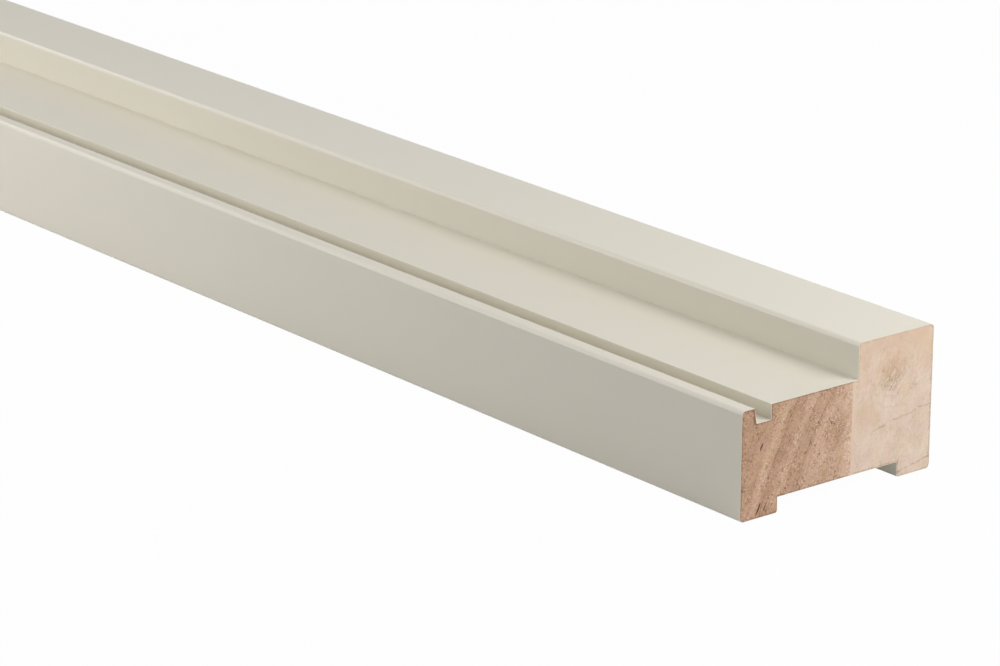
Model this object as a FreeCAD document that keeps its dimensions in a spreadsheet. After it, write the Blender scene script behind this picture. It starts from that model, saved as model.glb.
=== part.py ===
"""One member of a painted wooden door frame, glued up from two lamellas and moulded on all sides.

The member lies as it is photographed. X runs along its length, with the photographed cut end at +X.
The weather side, with the lip and the drain groove, faces -Y. The door stop stands at the room side, +Y.
The two feet of the wall side rest on Z = 0. The origin is the middle of the footprint. Sizes are millimetres.
"""

import FreeCAD
import Part
import Sketcher

import os

OUT = "parts"
NEAR = 0.001    # how close an edge lies to the corner that names it

# Driving sizes of the moulded section and of the cut length: the value and what it measures.
SIZES = {
    "member_length": (1035, "cut length, as for the head over a 930 mm door leaf"),
    "section_depth": (110, "weather face to room face"),
    "section_thickness": (66, "feet to the top of the door stop"),
    "rebate_depth": (16.5, "top of the door stop down to the door seat"),
    "stop_depth": (44, "room face to the face that the door shuts against"),
    "seat_past_glue_line": (3, "strip of the door seat that lies on the pale lamella"),
    "lip_width": (7, "weather face to the mouth of the drain groove"),
    "groove_width": (9.5, "mouth of the drain groove"),
    "groove_depth": (7, "door seat down to the floor of the drain groove"),
    "groove_slope": (10.5, "lean of the groove's wall under the lip, in degrees"),
    "hardwood_foot_width": (21, "foot under the weather face"),
    "softwood_foot_width": (19.5, "foot under the door stop"),
    "wall_recess_depth": (7, "feet up to the hollow between them"),
    "arris_radius": (2, "rounding of the outer long edges, which holds the paint"),
    "foot_arris_radius": (1, "easing of each foot's edge beside the hollow"),
    "groove_arris_radius": (0.3, "easing of the two edges of the groove's mouth"),
}

# Places across the section, from the weather face, and up it, from the feet.
WEATHER_FACE = "0"
ROOM_FACE = "Sizes.section_depth"
STOP_FACE = "(Sizes.section_depth - Sizes.stop_depth)"
GLUE_LINE = f"({STOP_FACE} - Sizes.seat_past_glue_line)"
GROOVE_FRONT = "Sizes.lip_width"
GROOVE_REAR = "(Sizes.lip_width + Sizes.groove_width)"
HARDWOOD_FOOT = "Sizes.hardwood_foot_width"
SOFTWOOD_FOOT = "(Sizes.section_depth - Sizes.softwood_foot_width)"
FEET = "0"
RECESS_ROOF = "Sizes.wall_recess_depth"
SEAT = "(Sizes.section_thickness - Sizes.rebate_depth)"
STOP_TOP = "Sizes.section_thickness"

# Corners of a four-sided sketch, seen along -X, with the weather face at the left.
BOTTOM_LEFT, BOTTOM_RIGHT, TOP_RIGHT, TOP_LEFT = range(4)


def make_sheet(doc):
    """Write the driving sizes into a spreadsheet, one named cell each."""
    sheet = doc.addObject("Spreadsheet::Sheet", "Sizes")
    for row, (name, (value, meaning)) in enumerate(SIZES.items(), start=1):
        sheet.set(f"A{row}", meaning)
        sheet.set(f"B{row}", str(value))
        sheet.setAlias(f"B{row}", name)
    doc.recompute()


def section_sketch(body, name):
    """A sketch across the member, whose own origin is the weather face's foot corner."""
    sketch = body.newObject("Sketcher::SketchObject", name)
    across = [plane for plane in body.Origin.OriginFeatures if plane.Role == "YZ_Plane"]
    sketch.AttachmentSupport = [(across[0], "")]
    sketch.MapMode = "FlatFace"
    sketch.setExpression("AttachmentOffset.Base.x", "-Sizes.section_depth / 2")
    return sketch


def four_sides(sketch):
    """Four lines end to end: bottom, right, top and left. Only the left one may lean."""
    corners = [FreeCAD.Vector(*at, 0) for at in ((1, 1), (2, 1), (2, 2), (1, 2))]
    for start, end in zip(corners, corners[1:] + corners[:1]):
        sketch.addGeometry(Part.LineSegment(start, end), False)
    for line in range(4):
        joined = Sketcher.Constraint("Coincident", line, 2, (line + 1) % 4, 1)
        sketch.addConstraint(joined)
    for line, direction in enumerate(("Horizontal", "Vertical", "Horizontal")):
        sketch.addConstraint(Sketcher.Constraint(direction, line))


def tie(sketch, corner, across=None, up=None):
    """Hold a corner at the given distances from the sketch's origin."""
    for kind, distance in (("DistanceX", across), ("DistanceY", up)):
        if distance is not None:
            held = Sketcher.Constraint(kind, -1, 1, corner, 1, 1.0)
            index = sketch.addConstraint(held)
            sketch.setExpression(f"Constraints[{index}]", distance)


def rectangle(body, name, left, right, bottom, top):
    """A sketch of one upright rectangle, with each side at its own place."""
    sketch = section_sketch(body, name)
    four_sides(sketch)
    tie(sketch, BOTTOM_LEFT, left, bottom)
    tie(sketch, TOP_RIGHT, right, top)
    tie(sketch, TOP_LEFT, left)
    return sketch


def plane_blank(body, sketch):
    """The lamella as it is planed and cut to length, before moulding."""
    blank = body.newObject("PartDesign::Pad", "Blank")
    blank.Profile = sketch
    blank.SideType = "Symmetric"
    blank.setExpression("Length", "Sizes.member_length")
    return blank


def mould(body, name, sketch):
    """One cutter's pass along the whole length. Its sides are where the sketch's are."""
    cut = body.newObject("PartDesign::Pocket", name)
    cut.Profile = sketch
    cut.SideType = "Symmetric"
    cut.Type = "ThroughAll"
    body.Document.recompute()
    return cut


def long_edge(shape, sketch, corner):
    """Name of the edge that runs along the member through a corner of a sketch."""
    place = sketch.Placement.multVec(sketch.getPoint(corner, 1))
    for number, edge in enumerate(shape.Edges, start=1):
        runs_along = edge.BoundBox.XLength > edge.BoundBox.YLength
        if runs_along and edge.BoundBox.Center.isEqual(place, NEAR):
            return f"Edge{number}"
    raise ValueError(f"no long edge runs through corner {corner} of {sketch.Label}")


def round_arrises(body, name, radius, corners):
    """Round long edges, each given by a sketch and the corner of it that the edge runs through."""
    last = body.Tip
    edges = [long_edge(last.Shape, sketch, corner) for sketch, corner in corners]
    rounding = body.newObject("PartDesign::Fillet", name)
    rounding.Base = (last, edges)
    rounding.setExpression("Radius", radius)
    body.Document.recompute()


def hardwood_lamella(doc):
    """The dense red-brown lamella at the weather side, with the seat, the groove and a foot."""
    body = doc.addObject("PartDesign::Body", "HardwoodLamella")
    body.Label = "hardwood_lamella"
    outline = rectangle(body, "BlankOutline", WEATHER_FACE, GLUE_LINE, FEET, SEAT)
    plane_blank(body, outline)

    recess = rectangle(body, "RecessOutline", HARDWOOD_FOOT, GLUE_LINE, FEET, RECESS_ROOF)
    mould(body, "WallRecess", recess)

    groove = section_sketch(body, "GrooveOutline")
    four_sides(groove)
    floor = f"{SEAT} - Sizes.groove_depth"
    lean = "Sizes.groove_depth * tan(Sizes.groove_slope)"
    tie(groove, BOTTOM_LEFT, f"{GROOVE_FRONT} + {lean}", floor)
    tie(groove, TOP_RIGHT, GROOVE_REAR, SEAT)
    tie(groove, TOP_LEFT, GROOVE_FRONT)
    mould(body, "DrainGroove", groove)

    outer = [(outline, BOTTOM_LEFT), (outline, TOP_LEFT)]
    round_arrises(body, "OuterArrises", "Sizes.arris_radius", outer)
    round_arrises(body, "FootArris", "Sizes.foot_arris_radius", [(recess, BOTTOM_LEFT)])
    mouth = [(groove, TOP_LEFT), (groove, TOP_RIGHT)]
    round_arrises(body, "MouthArrises", "Sizes.groove_arris_radius", mouth)
    return body


def softwood_lamella(doc):
    """The pale lamella at the room side, with the door stop and a foot."""
    body = doc.addObject("PartDesign::Body", "SoftwoodLamella")
    body.Label = "softwood_lamella"
    outline = rectangle(body, "BlankOutline", GLUE_LINE, ROOM_FACE, FEET, STOP_TOP)
    plane_blank(body, outline)

    recess = rectangle(body, "RecessOutline", GLUE_LINE, SOFTWOOD_FOOT, FEET, RECESS_ROOF)
    mould(body, "WallRecess", recess)
    rebate = rectangle(body, "RebateOutline", GLUE_LINE, STOP_FACE, SEAT, STOP_TOP)
    mould(body, "DoorRebate", rebate)

    outer = [(rebate, TOP_RIGHT), (outline, TOP_RIGHT), (outline, BOTTOM_RIGHT)]
    round_arrises(body, "OuterArrises", "Sizes.arris_radius", outer)
    round_arrises(body, "FootArris", "Sizes.foot_arris_radius", [(recess, BOTTOM_RIGHT)])
    return body


def check(doc, lamellas):
    """Stop if anything failed to build, before a file is written."""
    for thing in doc.Objects:
        if {"Invalid", "Error"} & set(thing.State):
            raise RuntimeError(f"{thing.Name} failed: {thing.State}")
    for lamella in lamellas:
        shape = lamella.Shape
        if shape.isNull() or not shape.isValid() or len(shape.Solids) != 1:
            raise RuntimeError(f"{lamella.Label} isn't one whole solid")


def main():
    doc = FreeCAD.newDocument("DoorFrameMember")
    make_sheet(doc)
    lamellas = [hardwood_lamella(doc), softwood_lamella(doc)]
    doc.recompute()
    check(doc, lamellas)
    os.makedirs(OUT, exist_ok=True)
    for lamella in lamellas:
        lamella.Shape.exportStep(os.path.join(OUT, f"{lamella.Label}.step"))
        box = lamella.Shape.BoundBox
        spans = ", ".join(f"{span:.1f}" for span in (box.XLength, box.YLength, box.ZLength))
        print(f"{lamella.Label}: {spans} mm, {lamella.Shape.Volume / 1000:.0f} cm3")


main()
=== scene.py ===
"""One moulded and primed member of a wooden door frame, with bare sawn ends.

X runs along the member, with the sawn end that faces the camera at +X. The weather side faces -Y,
and the feet of the wall side stand at Z = 0. The pieces are in metres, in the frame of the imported
model, and the finishes count in millimetres.
"""

import math

import bmesh
import bpy
from mathutils import Matrix, Vector


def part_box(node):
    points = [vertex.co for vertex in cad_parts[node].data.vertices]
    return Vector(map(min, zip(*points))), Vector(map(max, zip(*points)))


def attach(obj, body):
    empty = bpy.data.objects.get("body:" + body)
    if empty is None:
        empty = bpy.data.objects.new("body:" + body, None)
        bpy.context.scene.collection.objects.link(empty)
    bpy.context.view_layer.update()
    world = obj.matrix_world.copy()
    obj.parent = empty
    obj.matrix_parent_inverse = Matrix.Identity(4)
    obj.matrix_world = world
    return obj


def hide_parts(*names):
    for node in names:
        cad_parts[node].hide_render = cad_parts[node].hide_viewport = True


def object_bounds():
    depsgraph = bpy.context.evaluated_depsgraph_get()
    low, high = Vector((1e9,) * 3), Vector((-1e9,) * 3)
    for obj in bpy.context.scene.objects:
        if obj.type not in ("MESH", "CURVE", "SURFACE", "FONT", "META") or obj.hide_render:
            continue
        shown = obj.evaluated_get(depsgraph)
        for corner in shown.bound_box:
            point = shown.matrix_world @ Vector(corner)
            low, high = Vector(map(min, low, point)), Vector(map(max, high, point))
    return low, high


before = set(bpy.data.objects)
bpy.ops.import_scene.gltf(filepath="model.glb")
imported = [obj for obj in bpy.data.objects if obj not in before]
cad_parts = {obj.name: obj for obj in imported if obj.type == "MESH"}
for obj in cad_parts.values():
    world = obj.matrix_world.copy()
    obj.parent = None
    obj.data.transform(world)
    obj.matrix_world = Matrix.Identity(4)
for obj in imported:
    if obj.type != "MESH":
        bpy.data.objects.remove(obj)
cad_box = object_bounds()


# The hardwood lamella is the dense red-brown half at the weather side. It is moulded with the lip,
# the drain groove, most of the door seat and one foot, glued to the other lamella, primed, and sawn
# off square.

MM = 0.001
left_end, right_end = cad_box[0][0], cad_box[1][0]
(_, weather_face, feet), (_, glue_line, door_seat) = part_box("hardwood_lamella")
_, (_, room_face, stop_top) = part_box("softwood_lamella")

LIP_WIDTH = 7 * MM
GROOVE_WIDTH = 9.5 * MM
GROOVE_DEPTH = 7 * MM
GROOVE_SLOPE = math.radians(10.5)
HARDWOOD_FOOT = 21 * MM
SOFTWOOD_FOOT = 19.5 * MM
RECESS_DEPTH = 7 * MM
STOP_DEPTH = 44 * MM

groove_front = weather_face + LIP_WIDTH
groove_rear = groove_front + GROOVE_WIDTH
groove_floor = door_seat - GROOVE_DEPTH
groove_toe = groove_front + GROOVE_DEPTH * math.tan(GROOVE_SLOPE)
recess_front = weather_face + HARDWOOD_FOOT
recess_rear = room_face - SOFTWOOD_FOOT
recess_roof = feet + RECESS_DEPTH
stop_face = room_face - STOP_DEPTH

OUTER_ARRIS = 2 * MM
FOOT_ARRIS = 1 * MM
MOUTH_ARRIS = 0.3 * MM
SHARP = 0
OUTER_STEPS = 12
INNER_STEPS = 4

COAT = 0.15 * MM    # the primer's cut edge, round each bare end
NEAR = 0.01 * MM    # how close a face lies to the glue line to be the glued one
BARE = 1            # the material of the sawn faces, after the primer
STATIONS = 23       # cuts across the member, which keep its long faces from being slivers


def moulded_lamella(name, outline, glued_side):
    """A lamella as one closed mesh, with the cut edge of the coat round its bare ends.

    The outline gives each corner's place across and up the member, and the radius of its rounding.
    """
    shape = bmesh.new()
    corners = [shape.verts.new((left_end, across, up)) for across, up, _ in outline]
    shape.faces.new(corners)
    for corner, (_, _, radius) in zip(corners, outline):
        if radius:
            steps = OUTER_STEPS if radius == OUTER_ARRIS else INNER_STEPS
            bmesh.ops.bevel(shape, geom=[corner], offset=radius, segments=steps, profile=0.5,
                            affect="VERTICES", material=-1)
    grown = bmesh.ops.extrude_face_region(shape, geom=shape.faces[:], use_keep_orig=True)
    moved = [part for part in grown["geom"] if isinstance(part, bmesh.types.BMVert)]
    bmesh.ops.translate(shape, verts=moved, vec=(right_end - left_end, 0, 0))
    bmesh.ops.recalc_face_normals(shape, faces=shape.faces[:])

    # The glued face is out while the ends are inset, because no coat shows along the glue line.
    glued = [face for face in shape.faces
             if all(abs(corner.co.y - glued_side) < NEAR for corner in face.verts)]
    bmesh.ops.delete(shape, geom=glued, context="FACES")
    ends = [face for face in shape.faces if abs(face.normal.x) > 0.5]
    bmesh.ops.inset_region(shape, faces=ends, thickness=COAT, use_even_offset=True,
                           use_boundary=False)
    for face in ends:
        face.material_index = BARE
    open_edges = [edge for edge in shape.edges if edge.is_boundary]
    bmesh.ops.edgeloop_fill(shape, edges=open_edges)

    for station in range(1, STATIONS + 1):
        along = left_end + (right_end - left_end) * station / (STATIONS + 1)
        everything = shape.verts[:] + shape.edges[:] + shape.faces[:]
        bmesh.ops.bisect_plane(shape, geom=everything, plane_co=(along, 0, 0), plane_no=(1, 0, 0))
    bmesh.ops.recalc_face_normals(shape, faces=shape.faces[:])
    mesh = bpy.data.meshes.new(name)
    shape.to_mesh(mesh)
    shape.free()
    lamella = bpy.data.objects.new(name, mesh)
    bpy.context.scene.collection.objects.link(lamella)
    return lamella


hardwood_lamella = moulded_lamella("moulded_hardwood_lamella", (
    (weather_face, feet, OUTER_ARRIS),
    (recess_front, feet, FOOT_ARRIS),
    (recess_front, recess_roof, SHARP),
    (glue_line, recess_roof, SHARP),
    (glue_line, door_seat, SHARP),
    (groove_rear, door_seat, MOUTH_ARRIS),
    (groove_rear, groove_floor, SHARP),
    (groove_toe, groove_floor, SHARP),
    (groove_front, door_seat, MOUTH_ARRIS),
    (weather_face, door_seat, OUTER_ARRIS)), glue_line)


class Signal:
    """One socket of a finish, with Python's arithmetic: each operation adds a Math node."""

    def __init__(self, finish, socket):
        self.finish = finish
        self.socket = socket

    def math(self, operation, *others):
        return self.finish.node("ShaderNodeMath", {"operation": operation},
                                dict(enumerate((self, *others))))

    def __add__(self, other):
        return self.math("ADD", other)

    def __sub__(self, other):
        return self.math("SUBTRACT", other)

    def __rsub__(self, other):
        return self.math("MULTIPLY", -1) + other

    def __mul__(self, other):
        return self.math("MULTIPLY", other)

    __radd__ = __add__
    __rmul__ = __mul__

    def most(self, other):
        return self.math("MAXIMUM", other)

    def rise(self, low, high):
        """0 up to low, 1 from high on, and smooth between. It falls where high is under low."""
        return self.finish.node("ShaderNodeMapRange", {"interpolation_type": "SMOOTHSTEP"},
                                {"Value": self, "From Min": low, "From Max": high})


def in_use(sockets, wanted):
    """The socket of that name or number, among those that the node's settings leave in use."""
    shown = [socket for socket in sockets if socket.enabled]
    return next(socket for number, socket in enumerate(shown) if wanted in (number, socket.name))


END_GRAIN = 0.05    # how fast sawn wood's patterns change along the member, against across it


class Finish:
    """A material's or the world's nodes, written as expressions."""

    def __init__(self, owner):
        owner.use_nodes = True
        self.owner = owner
        self.tree = owner.node_tree
        self.tree.nodes.clear()

    def node(self, kind, settings, sockets, output=0):
        """Add a node: its settings, with a ramp's stops, and then its sockets' values or links."""
        node = self.tree.nodes.new(kind)
        for name, value in settings.items():
            if name == "stops":
                ramp = node.color_ramp
                ramp.interpolation = "EASE"
                while len(ramp.elements) < len(value):
                    ramp.elements.new(1)
                for element, (position, level) in zip(ramp.elements, value):
                    element.position = position
                    element.color = (level, level, level, 1)
            else:
                setattr(node, name, value)
        for name, value in sockets.items():
            socket = in_use(node.inputs, name)
            if isinstance(value, Signal):
                self.tree.links.new(value.socket, socket)
            elif socket.type == "RGBA":
                socket.default_value = (*value, 1)
            else:
                socket.default_value = value
        if node.outputs:
            return Signal(self, in_use(node.outputs, output))

    def mix(self, factor, first, second):
        """A colour between two, from the first at 0 to the second at 1."""
        return self.node("ShaderNodeMix", {"data_type": "RGBA"},
                         {"Factor": factor, "A": first, "B": second})

    def multiply(self, colour, by):
        return self.node("ShaderNodeMix", {"data_type": "RGBA", "blend_type": "MULTIPLY"},
                         {"Factor": 1.0, "A": colour, "B": by})

    def section(self, along=END_GRAIN, lean=0, stretch=(1.0, 1.0)):
        """Millimetres across the section from the weather face and up from the feet, in Y and Z.

        Along is how fast a pattern changes down the member. One that leans, by so many degrees, can
        be stretched each way.
        """
        place = self.node("ShaderNodeTexCoord", {}, {}, "Object")
        from_corner = self.node("ShaderNodeMapping", {}, {
            "Vector": place, "Location": (0, -weather_face / MM, 0),
            "Scale": (along / MM, 1 / MM, 1 / MM)})
        if not lean:
            return from_corner
        return self.node("ShaderNodeMapping", {"vector_type": "TEXTURE"}, {
            "Vector": from_corner, "Rotation": (math.radians(lean), 0, 0), "Scale": (1, *stretch)})

    def across_and_up(self, section):
        """The two distances of the section, each on its own."""
        return [self.node("ShaderNodeSeparateXYZ", {}, {"Vector": section}, way) for way in "YZ"]

    def noise(self, place, per_mm, detail=2, roughness=0.5):
        """Cloudy noise between 0 and 1, with about that many clouds to a millimetre."""
        return self.node("ShaderNodeTexNoise", {}, {
            "Vector": place, "Scale": per_mm, "Detail": detail, "Roughness": roughness})

    def from_point(self, section, point):
        """Distance in the section from a point across and up, such as the heart of the tree."""
        offset = self.node("ShaderNodeVectorMath", {"operation": "SUBTRACT"},
                           {0: section, 1: (0, *point)})
        flat = self.node("ShaderNodeVectorMath", {"operation": "MULTIPLY"},
                         {0: offset, 1: (0, 1, 1)})
        return self.node("ShaderNodeVectorMath", {"operation": "LENGTH"}, {0: flat})

    def from_outline(self, section):
        """Millimetres in from the nearest painted side, with corners as round as the arrises."""
        across, up = self.across_and_up(section)
        depth, stop, lip, groove, foot, rear_foot = ((face - weather_face) / MM for face in (
            room_face, stop_face, groove_front, groove_rear, recess_front, recess_rear))
        height, seat, floor, roof = ((level - feet) / MM for level in (
            stop_top, door_seat, groove_floor, recess_roof))
        rebate = (across - stop).most(seat - up)
        drain = (lip - across).most(across - groove).most(floor - up)
        hollow = (foot - across).most(across - rear_foot).most(up - roof)
        inside = up
        for side in (across, depth - across, height - up, rebate, hollow, drain):
            inside = inside.math("SMOOTH_MIN", side, OUTER_ARRIS / MM)
        return inside

    def spots(self, place, per_mm, radius, share):
        """Small round spots, 1 in the middle of each, at that share of the places for one."""
        settings, sockets = {"feature": "F1"}, {"Vector": place, "Scale": per_mm}
        away = self.node("ShaderNodeTexVoronoi", settings, sockets, "Distance")
        drawn = self.node("ShaderNodeSeparateColor", {}, {
            "Color": self.node("ShaderNodeTexVoronoi", settings, sockets, "Color")})
        edge, core = radius * per_mm, 0.4 * radius * per_mm
        return away.rise(edge, core) * drawn.rise(share + 0.01, share - 0.01)

    def profile(self, value, stops):
        """A smooth curve through given stops, each a place on the value and a level."""
        low, high = stops[0][0], stops[-1][0]
        scaled = self.node("ShaderNodeMapRange", {}, {
            "Value": value, "From Min": low, "From Max": high})
        return self.node("ShaderNodeValToRGB", {
            "stops": [((place - low) / (high - low), level) for place, level in stops]},
            {"Fac": scaled})

    def lines(self, value, reach, lines):
        """Thin lines within the reach, each with its start, its middle, its end and its level."""
        first, last = reach
        stops = [(first, 0)]
        for start, middle, end, level in lines:
            stops += [(start, 0), (middle, level), (end, 0)]
        return self.profile(value, stops + [(last, 0)])

    def tint(self, colour, place, per_mm, amount):
        """The colour, pinker and greener, and bluer and yellower, in cloudy patches."""
        pink = self.noise(place, per_mm).rise(0.38, 0.62) - 0.5
        blue = self.noise(place, 1.3 * per_mm).rise(0.38, 0.62) - 0.5
        return self.multiply(colour, self.node("ShaderNodeCombineColor", {}, {
            "Red": 1.0, "Green": 1 - pink * amount, "Blue": 1 + blue * amount}))

    def surface(self, colour, roughness, height, depth, specular=0.5):
        """Close the finish with its colour, gloss and relief, the relief's depth in millimetres."""
        relief = self.node("ShaderNodeBump", {}, {
            "Strength": 1.0, "Distance": depth * MM, "Height": height})
        shader = self.node("ShaderNodeBsdfPrincipled", {}, {
            "Base Color": colour, "Roughness": roughness, "Normal": relief,
            "Specular IOR Level": specular})
        self.node("ShaderNodeOutputMaterial", {}, {"Surface": shader})
        return self.owner


def primer_coat():
    """Sprayed off-white primer: satin, with a faint orange peel and the long grain just showing."""
    coat = Finish(bpy.data.materials.new("primer_coat"))
    all_ways = coat.section(along=1.0)
    peel = coat.noise(all_ways, per_mm=0.45)
    cloud = coat.noise(all_ways, per_mm=0.012)
    grain = coat.noise(coat.section(along=0.02), per_mm=0.9, detail=3)
    tone = (cloud - 0.5) * 0.5 + (grain - 0.5) * 0.25 + 0.5
    darker, lighter = (0.722, 0.682, 0.578), (0.762, 0.722, 0.618)
    return coat.surface(coat.mix(tone, darker, lighter), roughness=0.36 + cloud * 0.08,
                        height=peel + grain * 0.6, depth=0.012)


def bare_hardwood():
    """Sawn end grain of a porous red-brown hardwood: leaning growth bands, and pores in patches."""
    wood = Finish(bpy.data.materials.new("bare_hardwood"))
    section = wood.section()
    elsewhere = wood.section(lean=180)
    across, _ = wood.across_and_up(section)
    drift = wood.noise(section, per_mm=0.05)
    fray = wood.noise(section, per_mm=0.45)

    # The growth rings are arcs round the heart of the tree, which lay outside this lamella.
    heart = (210, -60)
    ring = wood.from_point(section, heart) + (drift - 0.5) * 3
    bands = wood.profile(ring + (fray - 0.5) * 2.5, (
        (160, 0.66), (170, 0.60), (174.5, 0.55), (177.5, 0.48), (180.5, 0.54), (184, 0.51),
        (186.5, 0.55), (189.3, 0.48), (190.6, 0.42), (191.4, 0.37), (192.4, 0.41), (195, 0.41),
        (196.8, 0.39), (199.8, 0.54), (202.2, 0.46), (205, 0.40), (207.4, 0.33), (209, 0.42),
        (212.5, 0.59), (216, 0.43), (222, 0.35), (232, 0.36)))
    threads = wood.lines(ring + (fray - 0.5) * 1.1, (170, 230), (
        (191, 191.4, 191.8, 1), (197, 197.4, 197.8, 0.5), (204, 204.4, 204.8, 0.5),
        (207.9, 208.4, 208.9, 1), (215, 215.4, 215.8, 0.4)))
    unbroken = wood.noise(section, per_mm=0.7, detail=1).rise(0.38, 0.54)

    # Small marks, which crowd together where the wood is busy.
    flecks = wood.noise(section, per_mm=1.3, roughness=0.6)
    patches = wood.noise(section, per_mm=0.14)
    streaks = wood.noise(wood.section(lean=63, stretch=(9.0, 0.8)), per_mm=0.9)
    blotch_middle = (55, 28)
    blotch = (wood.from_point(section, blotch_middle) + (drift - 0.5) * 30).rise(8, 2)
    busy = wood.noise(elsewhere, per_mm=0.13) + blotch * 0.2 + (streaks - 0.5) * 0.5
    busy = busy.rise(0.38, 0.58)
    dashes = wood.noise(wood.section(lean=-14, stretch=(2.2, 0.6)), per_mm=0.9, detail=1)
    dashes = dashes.rise(0.58, 0.70)
    dark_specks = wood.noise(section, per_mm=0.95, detail=1).rise(0.58, 0.69)
    dark_specks = dark_specks * (0.25 + busy * 0.75)
    pale_specks = wood.noise(elsewhere, per_mm=1.0, detail=1).rise(0.58, 0.69)
    pale_specks = pale_specks * (0.25 + busy * 0.75)
    open_pores = wood.spots(section, per_mm=0.6, radius=0.36, share=0.3) * (0.3 + busy * 0.7)
    # A thin dark band inside the painted sides: partly the saw's frayed fibres, partly painted
    # shade along the edge of the end.
    fray_and_edge_shade = (wood.from_outline(section) + (flecks - 0.5) * 1.6).rise(0.9, 0.3)
    pale_edge = (across + (fray - 0.5) * 6).rise(57, 62)

    # How much each mark lightens or darkens the wood.
    tone = (bands + 0.02
            + (flecks - 0.5) * 0.4
            + (patches - 0.5) * 0.3
            + pale_edge * 0.11
            - (streaks - 0.5) * 0.35
            - dark_specks * 0.38
            - dashes * 0.14
            - open_pores * 0.3
            + pale_specks * 0.3
            - fray_and_edge_shade * 0.32
            - blotch * 0.1
            - threads * unbroken * 0.3)
    dark, red_brown, pale = (0.24, 0.135, 0.07), (0.55, 0.366, 0.25), (0.87, 0.71, 0.55)
    colour = wood.mix(tone.rise(-0.1, 0.62), dark, red_brown)
    colour = wood.mix(tone.rise(0.45, 1.15), colour, pale)
    colour = wood.tint(colour, elsewhere, per_mm=0.2, amount=0.05)

    # The wood reddens a little from the glue line to the weather face.
    by_the_glue, by_the_weather = (1.01, 0.99, 1.0), (1.01, 0.965, 0.955)
    colour = wood.multiply(colour, wood.mix(across.rise(55, 5), by_the_glue, by_the_weather))
    height = flecks + pale_specks * 0.4 - dark_specks * 0.6 - open_pores
    return wood.surface(colour, roughness=0.8, height=height, depth=0.1, specular=0.3)


primer = primer_coat()
hardwood_lamella.data.materials.append(primer)
hardwood_lamella.data.materials.append(bare_hardwood())


# Each opening's place across and up, its width, its length and its depth in millimetres, and its
# lean from upright in degrees.
OPENINGS = {
    "check": (11.3, 31.4, 1.0, 3.6, 3, -22),
    "check over the foot": (10.1, 3.8, 1.0, 6.5, 4, -27),
    "hairline check": (13.6, 3.8, 0.45, 5.0, 0.4, -25),
    "pinhole": (44.6, 20.9, 0.9, 0.9, 12, 0),
}


def open_in_the_end(lamella, openings):
    """Sink narrow openings into the near end, each a flattened ball with its middle on the face."""
    shape = bmesh.new()
    for across, up, width, length, depth, lean in openings:
        place = Matrix.Translation((right_end, weather_face + across * MM, feet + up * MM))
        turn = Matrix.Rotation(math.radians(lean), 4, "X")
        size = Matrix.Diagonal((2 * depth * MM, width * MM, length * MM, 1))
        bmesh.ops.create_icosphere(shape, subdivisions=3, radius=0.5, matrix=place @ turn @ size)
    for face in shape.faces:
        face.material_index = BARE
    mesh = bpy.data.meshes.new("openings")
    shape.to_mesh(mesh)
    shape.free()
    for material in lamella.data.materials:
        mesh.materials.append(material)
    openings_shape = bpy.data.objects.new("openings", mesh)
    bpy.context.scene.collection.objects.link(openings_shape)
    cut = lamella.modifiers.new("openings", "BOOLEAN")
    cut.object = openings_shape
    cut.operation = "DIFFERENCE"
    cut.solver = "EXACT"
    bpy.context.view_layer.update()
    as_cut = lamella.evaluated_get(bpy.context.evaluated_depsgraph_get())
    opened = bpy.data.meshes.new_from_object(as_cut)
    lamella.modifiers.clear()
    lamella.data = opened
    bpy.data.objects.remove(openings_shape)


ROUNDED = math.radians(30)    # an edge that turns by less is part of a rounding
FLATS_WIN = 100               # the modifier's weight at which the largest faces stay flat


def shade_arrises(lamella):
    """Shade the roundings smooth, and keep the flat faces flat and the cut edges crisp."""
    shape = bmesh.new()
    shape.from_mesh(lamella.data)
    for face in shape.faces:
        face.smooth = True
    for edge in shape.edges:
        edge.smooth = edge.calc_face_angle(math.pi) < ROUNDED
    shape.to_mesh(lamella.data)
    shape.free()
    flats_first = lamella.modifiers.new("flats first", "WEIGHTED_NORMAL")
    flats_first.keep_sharp = True
    flats_first.weight = FLATS_WIN


open_in_the_end(hardwood_lamella, OPENINGS.values())
shade_arrises(hardwood_lamella)
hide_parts("hardwood_lamella")
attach(hardwood_lamella, "root")


# The softwood lamella is the pale half at the room side. It carries the door stop, the last strip
# of the door seat and the other foot, and it is primed and sawn with the hardwood one.

softwood_lamella = moulded_lamella("moulded_softwood_lamella", (
    (glue_line, recess_roof, SHARP),
    (recess_rear, recess_roof, SHARP),
    (recess_rear, feet, FOOT_ARRIS),
    (room_face, feet, OUTER_ARRIS),
    (room_face, stop_top, OUTER_ARRIS),
    (stop_face, stop_top, OUTER_ARRIS),
    (stop_face, door_seat, SHARP),
    (glue_line, door_seat, SHARP)), glue_line)


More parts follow.
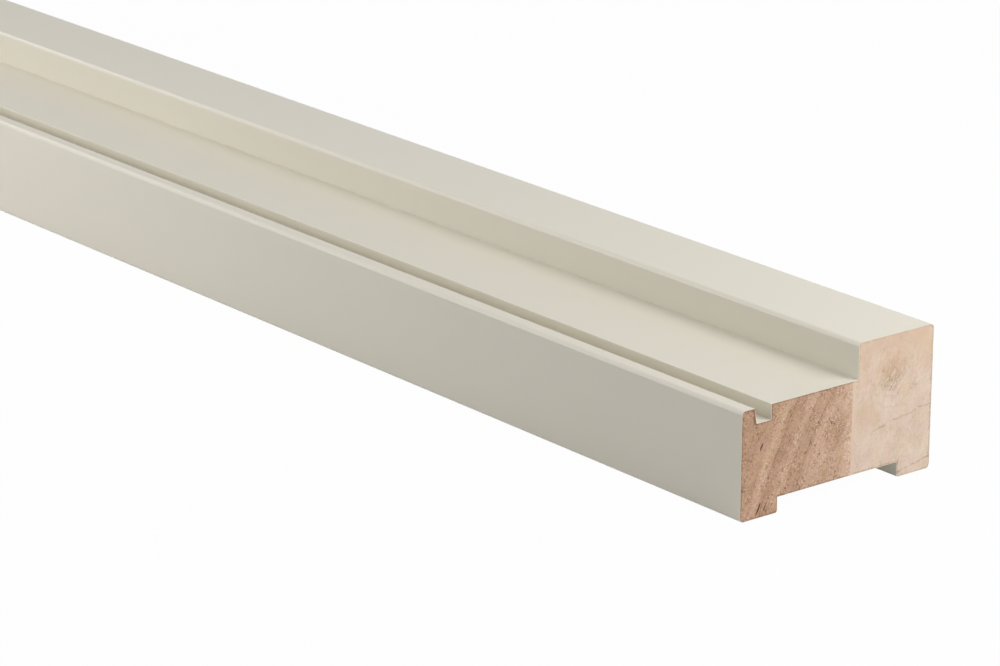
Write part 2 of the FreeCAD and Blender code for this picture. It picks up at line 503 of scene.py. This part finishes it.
def bare_softwood():
    """Sawn end grain of a pale softwood: few thin rings, and the brown cloud of a small knot."""
    wood = Finish(bpy.data.materials.new("bare_softwood"))
    section = wood.section()
    elsewhere = wood.section(lean=180)
    across, up = wood.across_and_up(section)
    drift = wood.noise(section, per_mm=0.1)
    flecks = wood.noise(section, per_mm=1.1, roughness=0.6)

    # The growth rings are arcs round the heart of the tree, and the knot has rings of its own.
    heart = (116, -112)
    ring = wood.from_point(section, heart) + (drift - 0.5) * 4 + (flecks - 0.5) * 0.6
    rings = wood.lines(ring, (112, 170), (
        (116.5, 117.1, 117.7, 1), (128, 128.6, 129, 0.25), (141.2, 141.8, 142.4, 0.8),
        (152, 153, 153.6, 0.2))) * across.rise(70, 80)
    knot_middle = (86, 49)
    from_knot = wood.from_point(section, knot_middle)
    from_knot = from_knot + (wood.noise(section, per_mm=0.2, detail=3) - 0.5) * 14
    knot = from_knot.rise(10, 2)
    curls = wood.lines(from_knot, (0, 40), (
        (6.4, 7.4, 8.4, 1), (10.6, 11.6, 12.6, 0.8), (15, 16, 17, 0.7)))
    unbroken = wood.noise(section, per_mm=0.4).rise(0.33, 0.52)

    # Small marks, most of them in the knot.
    patches = wood.noise(section, per_mm=0.13, detail=3)
    fibres = wood.noise(wood.section(lean=70, stretch=(3.0, 0.6)), per_mm=0.8)
    specks = wood.noise(elsewhere, per_mm=0.9, detail=1).rise(0.56, 0.68)
    strokes = wood.noise(wood.section(lean=60, stretch=(3.0, 0.7)), per_mm=0.9, detail=1)
    pale_strokes = strokes.rise(0.58, 0.68)
    stain_middle = (72, 33)
    stain = (wood.from_point(section, stain_middle) + (drift - 0.5) * 20).rise(9, 2)
    # A thin dark band inside the painted sides: partly the saw's frayed fibres, partly painted
    # shade along the edge of the end.
    fray_and_edge_shade = (wood.from_outline(section) + (flecks - 0.5) * 2).rise(1.2, 0.4)

    # How much each mark lightens or darkens the wood.
    tone = (0.585
            + (flecks - 0.5) * 0.5
            + (patches - 0.5) * 0.45
            + (fibres - 0.5) * (0.25 + knot * 0.2)
            - rings * unbroken * 0.35
            - curls * unbroken * 0.2
            - knot * 0.34
            - specks * (0.15 + knot * 0.6) * 0.32
            - fray_and_edge_shade * 0.25
            - stain * 0.08
            + pale_strokes * (0.05 + knot * 0.3))
    dark, cream, pale = (0.36, 0.24, 0.14), (0.712, 0.561, 0.445), (0.88, 0.78, 0.672)
    colour = wood.mix(tone.rise(-0.1, 0.62), dark, cream)
    colour = wood.mix(tone.rise(0.5, 1.1), colour, pale)

    # The top is tanned in streaks, and a thin strip beside the glue line is pinker.
    tan, pink = (0.69, 0.495, 0.345), (0.75, 0.535, 0.44)
    streaks = wood.noise(wood.section(lean=80, stretch=(4.0, 0.6)), per_mm=0.5)
    tanned = (up + (drift - 0.5) * 50 + (streaks - 0.5) * 40).rise(40, 62)
    colour = wood.mix((tanned * 0.6).most(stain * 0.45), colour, tan)
    beside_glue = (across + (flecks - 0.5) * 0.8).rise(65.4, 64.6)
    colour = wood.mix(beside_glue * 0.4, colour, pink)
    colour = wood.tint(colour, elsewhere, per_mm=0.12, amount=0.035)
    return wood.surface(colour, roughness=0.8, height=flecks + fibres, depth=0.06, specular=0.3)


softwood_lamella.data.materials.append(primer)
softwood_lamella.data.materials.append(bare_softwood())
shade_arrises(softwood_lamella)
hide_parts("softwood_lamella")
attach(softwood_lamella, "root")


# The floor is a plain card, sunk a hair below the feet so that the two don't share a plane. It is
# pale grey to the light. Where it is seen it is nearly all white of itself, so that only the
# softest shadow shows on it.

FLOOR_SIDE = 12
GAP = 0.05 * MM
CARD_GREY = (0.6, 0.6, 0.6)
WHITE = (1, 1, 1)
OWN_WHITE = 0.98


def seen(finish):
    """1 where the camera sees the thing, mirrored or through glass too, and 0 for other light."""
    direct, mirrored, through = (finish.node("ShaderNodeLightPath", {}, {}, ray) for ray in (
        "Is Camera Ray", "Is Glossy Ray", "Is Transmission Ray"))
    return direct.most(mirrored).most(through)


card = bmesh.new()
bmesh.ops.create_grid(card, x_segments=1, y_segments=1, size=FLOOR_SIDE / 2,
                      matrix=Matrix.Translation((0, 0, feet - GAP)))
floor_mesh = bpy.data.meshes.new("floor")
card.to_mesh(floor_mesh)
card.free()
floor = bpy.data.objects.new("floor", floor_mesh)
bpy.context.scene.collection.objects.link(floor)
white_card = Finish(bpy.data.materials.new("white_card"))
lit = white_card.node("ShaderNodeBsdfDiffuse", {}, {"Color": CARD_GREY})
own = white_card.node("ShaderNodeEmission", {}, {"Color": WHITE, "Strength": 1.0})
both = white_card.node("ShaderNodeMixShader", {}, {0: seen(white_card) * OWN_WHITE, 1: lit, 2: own})
white_card.node("ShaderNodeOutputMaterial", {}, {"Surface": both})
floor_mesh.materials.append(white_card.owner)


# The studio has soft lamps only: square panels all round the member, one of them on its room side.
# Its world is white where it is seen or mirrored, and gives no other light. Each panel has its
# place and its side in metres, and its power in watts.

MIDDLE = Vector((0.25, 0, 0.04))
LAMPS = {
    "over": ((0.5, 0.0, 1.6), 1.0, 6.8),
    "left_high": ((-1.6, 0.1, 0.9), 0.5, 5.0),
    "left_near": ((-0.35, -0.7, 0.35), 0.5, 3.7),
    "front_low": ((-0.5, -1.2, 0.25), 0.4, 0.8),
    "far_front": ((-0.1, -1.3, 0.5), 0.5, 1.4),
    "near_front": ((1.6, -0.9, 0.3), 0.5, 0.4),
    "near_end": ((2.0, -0.2, 0.6), 1.0, 8.5),
    "near_top": ((0.95, 0.3, 0.6), 0.4, 3.8),
    "end_low": ((1.5, -0.35, 0.1), 0.4, 0.7),
    "room_side": ((0.3, 1.5, 0.3), 0.5, 4.0),
}

for name, (place, side, power) in LAMPS.items():
    panel = bpy.data.lights.new(name, "AREA")
    panel.shape = "SQUARE"
    panel.size = side
    panel.energy = power
    lamp = bpy.data.objects.new(name, panel)
    lamp.location = place
    lamp.rotation_euler = (MIDDLE - Vector(place)).to_track_quat("-Z", "Y").to_euler()
    bpy.context.scene.collection.objects.link(lamp)

studio = Finish(bpy.data.worlds.new("studio"))
plain = studio.node("ShaderNodeBackground", {}, {"Color": WHITE, "Strength": seen(studio)})
studio.node("ShaderNodeOutputWorld", {}, {"Surface": plain})
bpy.context.scene.world = studio.owner
bpy.context.scene.view_settings.view_transform = "Standard"


# The camera stands off the near end with a long lens, and looks along the member from its weather
# side. Its lens and sensor are in millimetres.

LENS = 148.47
SENSOR_WIDTH = 36
STAND = Vector((1.7127, -1.1440, 0.6183))
LOOK = Vector((-0.7401, 0.5944, -0.3145))
ROLL = math.radians(0.212)

camera = bpy.data.objects.new("camera", bpy.data.cameras.new("camera"))
camera.data.lens = LENS
camera.data.sensor_width = SENSOR_WIDTH
aim = LOOK.to_track_quat("-Z", "Y").to_matrix().to_4x4()
camera.matrix_world = Matrix.Translation(STAND) @ aim @ Matrix.Rotation(ROLL, 4, "Z")
bpy.context.scene.collection.objects.link(camera)
bpy.context.scene.camera = camera
